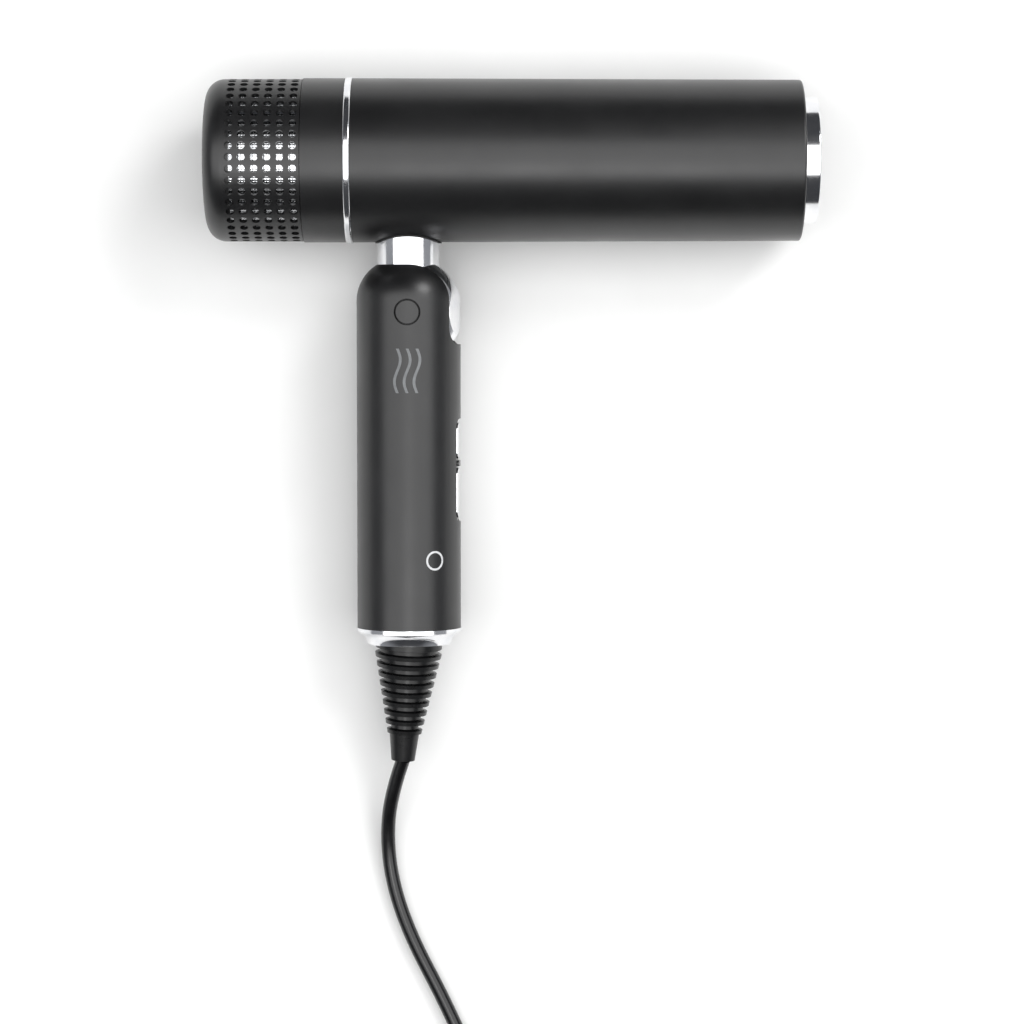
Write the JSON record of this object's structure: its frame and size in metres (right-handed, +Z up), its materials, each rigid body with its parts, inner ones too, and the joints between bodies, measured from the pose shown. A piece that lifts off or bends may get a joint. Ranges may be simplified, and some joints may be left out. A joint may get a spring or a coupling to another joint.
{
  "type": "travel hair dryer",
  "caption": "Folding T-shaped travel hair dryer with a round barrel, removable perforated intake cap, chrome neck, slim handle, ribbed strain relief and mains cord.",
  "frame": {"origin": "on the table, under the middle of the dryer's box without its cord, with the dryer lying on its side", "axes": "+X along the barrel towards the air outlet, +Y from the handle's end towards the barrel, +Z up from the table"},
  "size_m": [0.1981, 0.4008, 0.0528],
  "materials": {
    "black_shell": "satin black moulded shell, fine matt texture",
    "chrome_trim": "polished chrome plate",
    "filter_steel": "bright woven filter mesh",
    "dark_nylon": "moulded black nylon",
    "alloy": "machined",
    "steel": "turned and plated",
    "rubber_black": "moulded matt rubber",
    "mica_sheet": "layered mica board",
    "heating_wire": "wound resistance wire",
    "ceramic_white": "fired ceramic",
    "circuit_board": "solder-masked board",
    "component_black": "moulded component bodies",
    "cord_pvc": "glossy black PVC"
  },
  "bodies": {
    "head": {"barrel_tube": "black_shell", "accent_ring": "chrome_trim", "rear_housing": "black_shell", "fan_shroud": "dark_nylon", "motor_can": "alloy", "motor_bearings": "steel", "stator_core": "steel", "motor_damper": "rubber_black", "fan_carrier": "dark_nylon", "inlet_cone": "dark_nylon", "heat_shield": "mica_sheet", "mica_cross": "mica_sheet", "heater_coils": "heating_wire", "thermal_fuse": "ceramic_white", "front_bezel": "black_shell", "outlet_ring": "chrome_trim", "outlet_grille": "dark_nylon", "ion_emitter": "ceramic_white", "neck_knuckle": "chrome_trim", "neck_gasket": "rubber_black", "neck_saddle": "dark_nylon", "saddle_screws": "steel"},
    "intake": {"perforated_sleeve": "black_shell", "intake_cap": "black_shell", "filter_mesh": "filter_steel"},
    "rotor": {"impeller": "alloy", "motor_shaft": "steel", "rotor_magnet": "steel"},
    "handle": {"hinge_fork": "dark_nylon", "pivot_pins": "steel", "hinge_washers": "steel", "pivot_caps": "black_shell", "handle_shell": "black_shell", "end_ring": "chrome_trim", "switch_panel": "black_shell", "divider_rib": "black_shell", "control_board": "circuit_board", "board_switches": "component_black", "board_capacitor": "component_black", "heat_sink": "alloy", "cord_clamp": "dark_nylon", "clamp_screws": "steel", "strain_relief": "rubber_black", "cord_core": "cord_pvc", "cord_lead": "cord_pvc", "cord_coil": "cord_pvc", "cord_tail": "cord_pvc", "plug_relief": "cord_pvc", "plug_body": "cord_pvc", "plug_blades": "steel"},
    "speed": {"speed_button": "chrome_trim"},
    "heat": {"heat_button": "chrome_trim"}
  },
  "joints": [
    {"name": "handle_fold", "type": "hinge", "parent": "head", "child": "handle", "pos_m": [-0.03295, 0.0162, 0.02338], "axis": [0, -0.0628, 0.998], "range_deg": [0, 90]},
    {"name": "impeller_spin", "type": "hinge", "parent": "head", "child": "rotor", "pos_m": [-0.03295, 0.0642, 0.0264], "axis": [1, 0, 0], "continuous": true},
    {"name": "cap_pull", "type": "slide", "parent": "head", "child": "intake", "axis": [-1, 0, 0], "range_m": [0, 0.034]},
    {"name": "speed_press", "type": "slide", "parent": "handle", "child": "speed", "axis": [-1, 0, 0], "range_m": [0, 0.0008], "stiffness_N_per_m": 800, "springref_m": -0.0005},
    {"name": "heat_press", "type": "slide", "parent": "handle", "child": "heat", "axis": [-1, 0, 0], "range_m": [0, 0.0008], "stiffness_N_per_m": 800, "springref_m": -0.0005}
  ]
}
